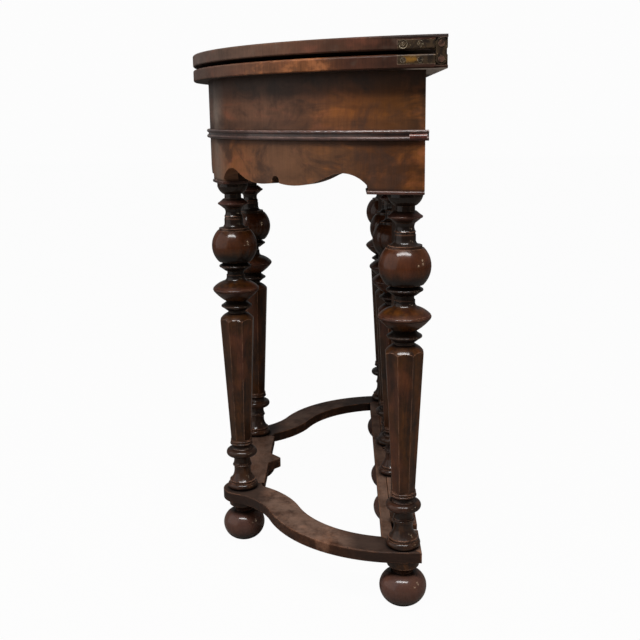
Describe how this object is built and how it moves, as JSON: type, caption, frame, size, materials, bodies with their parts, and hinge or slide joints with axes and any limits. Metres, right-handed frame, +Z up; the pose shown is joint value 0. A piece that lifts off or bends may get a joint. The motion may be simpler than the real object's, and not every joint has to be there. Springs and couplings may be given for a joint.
{
  "type": "half-round games table",
  "caption": "Half-round walnut games table with turned legs, a flap leaf that folds over to the back and swinging gate legs that hold it up.",
  "frame": {"origin": "centre of the bounding box on the floor, with the table closed", "axes": "+Z up, +Y towards the straight hinged back, -Y towards the curved front, +X towards the right end seen from the front"},
  "size_m": [0.7866, 0.35, 0.75],
  "materials": {
    "leaf_walnut": "waxed, worn satin",
    "frieze_walnut": "waxed satin, figured grain",
    "turned_walnut": "waxed, glossy on the high points",
    "dark_walnut": "old dark surface, satin",
    "patch_walnut": "redder replaced piece, satin",
    "stretcher_walnut": "dusty and worn, almost matt",
    "hinge_brass": "tarnished, worn bright on the edges",
    "hinge_pins": "tarnished",
    "screws": "dull"
  },
  "bodies": {
    "table": {"fixed_leaf": "leaf_walnut", "frieze_right": "frieze_walnut", "frieze_front": "frieze_walnut", "frieze_left": "frieze_walnut", "block_front_right": "dark_walnut", "block_front_left": "dark_walnut", "block_back_right": "dark_walnut", "block_back_left": "dark_walnut", "back_rail": "dark_walnut", "cleat_right": "dark_walnut", "cleat_left": "dark_walnut", "moulding_right": "dark_walnut", "moulding_front": "dark_walnut", "moulding_left": "dark_walnut", "moulding_patch": "patch_walnut", "pad_front_right": "dark_walnut", "pad_front_left": "dark_walnut", "pad_back_right": "dark_walnut", "pad_back_left": "dark_walnut", "leg_front_right": "turned_walnut", "leg_front_left": "turned_walnut", "leg_back_right": "turned_walnut", "leg_back_left": "turned_walnut", "foot_front_right": "turned_walnut", "foot_front_left": "turned_walnut", "foot_back_right": "turned_walnut", "foot_back_left": "turned_walnut", "stretcher_front": "stretcher_walnut", "stretcher_right": "stretcher_walnut", "stretcher_left": "stretcher_walnut", "stretcher_back": "stretcher_walnut", "rest_buttons": "dark_walnut", "plate_lower_right": "hinge_brass", "plate_lower_left": "hinge_brass", "pin_lower_right": "hinge_pins", "pin_lower_left": "hinge_pins", "screws_lower_right": "screws", "screws_lower_left": "screws"},
    "hinge_links": {"link_right": "hinge_brass", "link_left": "hinge_brass"},
    "flap": {"flap_leaf": "leaf_walnut", "plate_upper_right": "hinge_brass", "plate_upper_left": "hinge_brass", "pin_upper_right": "hinge_pins", "pin_upper_left": "hinge_pins", "screws_upper_right": "screws", "screws_upper_left": "screws"},
    "gate_right": {"gate_post_right": "dark_walnut", "gate_rail_right": "dark_walnut", "gate_stretcher_right": "stretcher_walnut", "gate_leg_right": "turned_walnut", "gate_foot_right": "turned_walnut"},
    "gate_left": {"gate_post_left": "dark_walnut", "gate_rail_left": "dark_walnut", "gate_stretcher_left": "stretcher_walnut", "gate_leg_left": "turned_walnut", "gate_foot_left": "turned_walnut"}
  },
  "joints": [
    {"name": "link_fold", "type": "hinge", "parent": "table", "child": "hinge_links", "pos_m": [0, 0.1673, 0.7226], "axis": [-1, 0, 0], "range_deg": [0, 90]},
    {"name": "flap_fold", "type": "hinge", "parent": "hinge_links", "child": "flap", "pos_m": [0, 0.1673, 0.7396], "axis": [-1, 0, 0], "range_deg": [0, 90]},
    {"name": "gate_right_swing", "type": "hinge", "parent": "table", "child": "gate_right", "pos_m": [0.25, 0.132, 0.4], "axis": [0, 0, -1], "range_deg": [0, 90]},
    {"name": "gate_left_swing", "type": "hinge", "parent": "table", "child": "gate_left", "pos_m": [-0.25, 0.132, 0.4], "axis": [0, 0, 1], "range_deg": [0, 90]}
  ]
}
